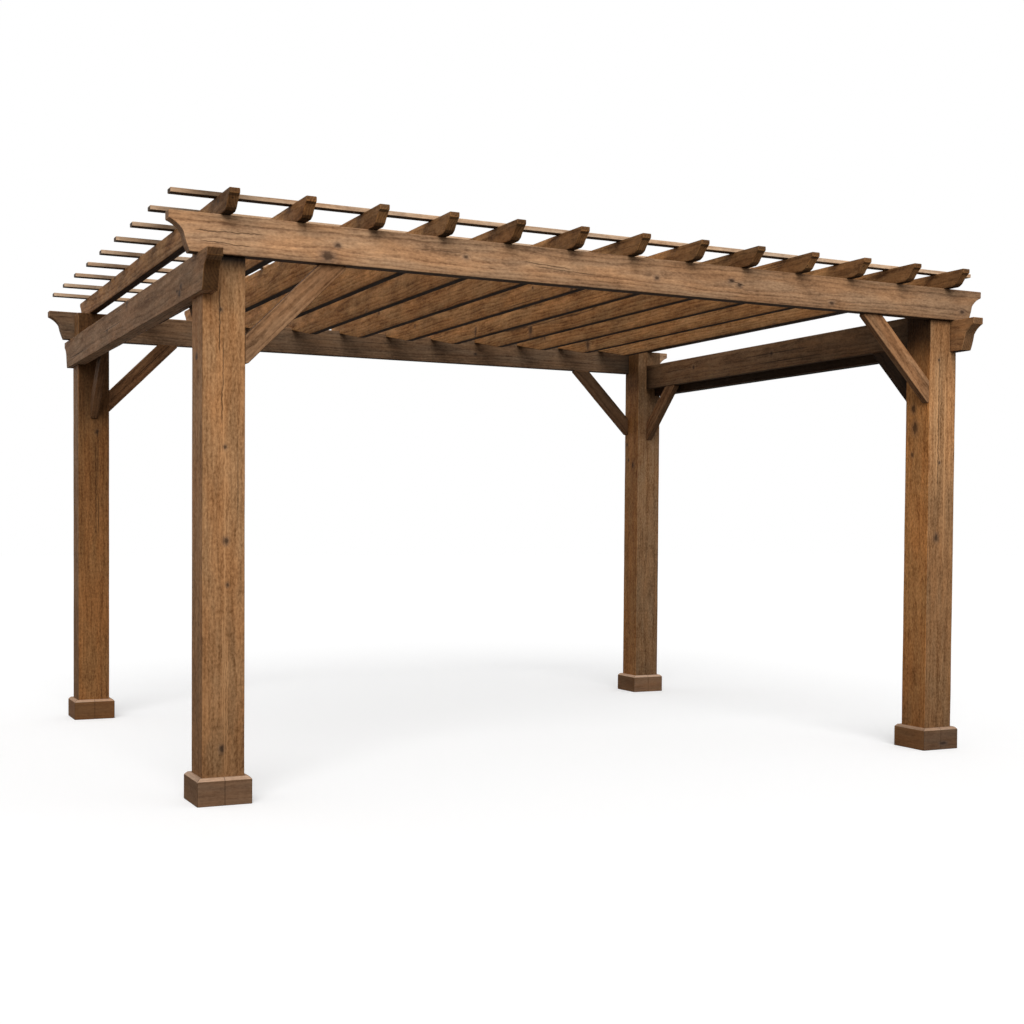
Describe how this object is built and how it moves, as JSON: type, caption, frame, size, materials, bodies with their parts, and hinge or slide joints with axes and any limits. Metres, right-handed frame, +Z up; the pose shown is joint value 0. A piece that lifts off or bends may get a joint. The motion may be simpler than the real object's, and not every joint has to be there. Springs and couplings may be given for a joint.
{
  "type": "wooden pergola",
  "caption": "Open timber pergola on square posts, with shaped beam and rafter tails, knee braces and roof slats, standing free to shade a seating area.",
  "frame": {"origin": "on the ground, at the middle of the four posts", "axes": "+Z up, +X to the right along the front beam, +Y from the front to the back"},
  "size_m": [3.6, 2.9, 2.112],
  "materials": {
    "post_timber": "stained, sawn",
    "trim_timber": "stained, sawn",
    "beam_timber": "stained, sawn",
    "brace_timber": "stained, sawn",
    "rafter_timber": "stained, sawn",
    "slat_timber": "stained, sawn"
  },
  "bodies": {
    "root": {"post_front_left": "post_timber", "post_front_right": "post_timber", "post_back_left": "post_timber", "post_back_right": "post_timber", "base_trim_front_left": "trim_timber", "base_trim_front_right": "trim_timber", "base_trim_back_left": "trim_timber", "base_trim_back_right": "trim_timber", "front_beam": "beam_timber", "back_beam": "beam_timber", "left_side_beam": "beam_timber", "right_side_beam": "beam_timber", "left_side_rail": "beam_timber", "right_side_rail": "beam_timber", "front_left_beam_brace": "brace_timber", "front_right_beam_brace": "brace_timber", "back_left_beam_brace": "brace_timber", "back_right_beam_brace": "brace_timber", "front_left_side_brace": "brace_timber", "front_right_side_brace": "brace_timber", "back_left_side_brace": "brace_timber", "back_right_side_brace": "brace_timber", "rafter_01": "rafter_timber", "rafter_02": "rafter_timber", "rafter_03": "rafter_timber", "rafter_04": "rafter_timber", "rafter_05": "rafter_timber", "rafter_06": "rafter_timber", "rafter_07": "rafter_timber", "rafter_08": "rafter_timber", "rafter_09": "rafter_timber", "rafter_10": "rafter_timber", "rafter_11": "rafter_timber", "rafter_12": "rafter_timber", "rafter_13": "rafter_timber", "slat_1": "slat_timber", "slat_2": "slat_timber", "slat_3": "slat_timber", "slat_4": "slat_timber", "slat_5": "slat_timber", "slat_6": "slat_timber", "slat_7": "slat_timber", "slat_8": "slat_timber", "slat_9": "slat_timber"}
  },
  "joints": []
}
